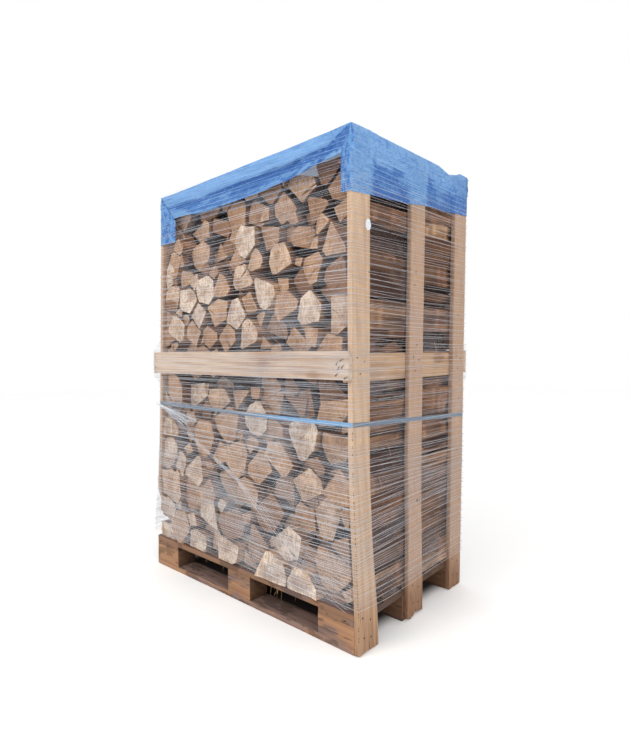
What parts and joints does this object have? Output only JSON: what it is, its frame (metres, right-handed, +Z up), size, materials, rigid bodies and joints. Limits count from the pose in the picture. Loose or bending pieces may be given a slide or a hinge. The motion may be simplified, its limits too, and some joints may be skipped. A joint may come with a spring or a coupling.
{
  "type": "palletised firewood bundle",
  "caption": "Split firewood logs stacked in rows on a four-way pallet between upright boards, with a band, a plastic top sheet and a wrapped net.",
  "frame": {"origin": "on the floor, at the middle of the pallet's underside", "axes": "+Z up; +X along the pallet's 1200 mm side, towards the upright posts; -Y out of the front log ends"},
  "size_m": [1.2527, 0.85, 1.8221],
  "materials": {
    "pallet_wood": "rough sawn, weathered softwood",
    "board_wood": "rough sawn pale softwood, browner at the feet",
    "split_logs": "split and sawn hardwood with bark",
    "strapping": "satin blue strapping",
    "seal_steel": "crimped zinc-plated steel",
    "sheet_film": "wrinkled translucent blue film",
    "net_fibre": "knitted white pallet net, see-through between its strands"
  },
  "bodies": {
    "root": {"bottom_board_front": "pallet_wood", "bottom_board_middle": "pallet_wood", "bottom_board_back": "pallet_wood", "block_front_left": "pallet_wood", "block_front_centre": "pallet_wood", "block_front_right": "pallet_wood", "block_middle_left": "pallet_wood", "block_middle_centre": "pallet_wood", "block_middle_right": "pallet_wood", "block_back_left": "pallet_wood", "block_back_centre": "pallet_wood", "block_back_right": "pallet_wood", "cross_board_left": "pallet_wood", "cross_board_centre": "pallet_wood", "cross_board_right": "pallet_wood", "deck_board_1": "pallet_wood", "deck_board_2": "pallet_wood", "deck_board_3": "pallet_wood", "deck_board_4": "pallet_wood", "deck_board_5": "pallet_wood", "post_left_front": "board_wood", "post_left_middle": "board_wood", "post_left_back": "board_wood", "post_right_front": "board_wood", "post_right_middle": "board_wood", "post_right_back": "board_wood", "rail_front": "board_wood", "rail_back": "board_wood", "rail_left": "board_wood", "rail_right": "board_wood", "log_row_front": "split_logs", "log_row_back": "split_logs", "band": "strapping", "band_seal": "seal_steel", "top_sheet": "sheet_film", "net_wrap": "net_fibre"}
  },
  "joints": []
}
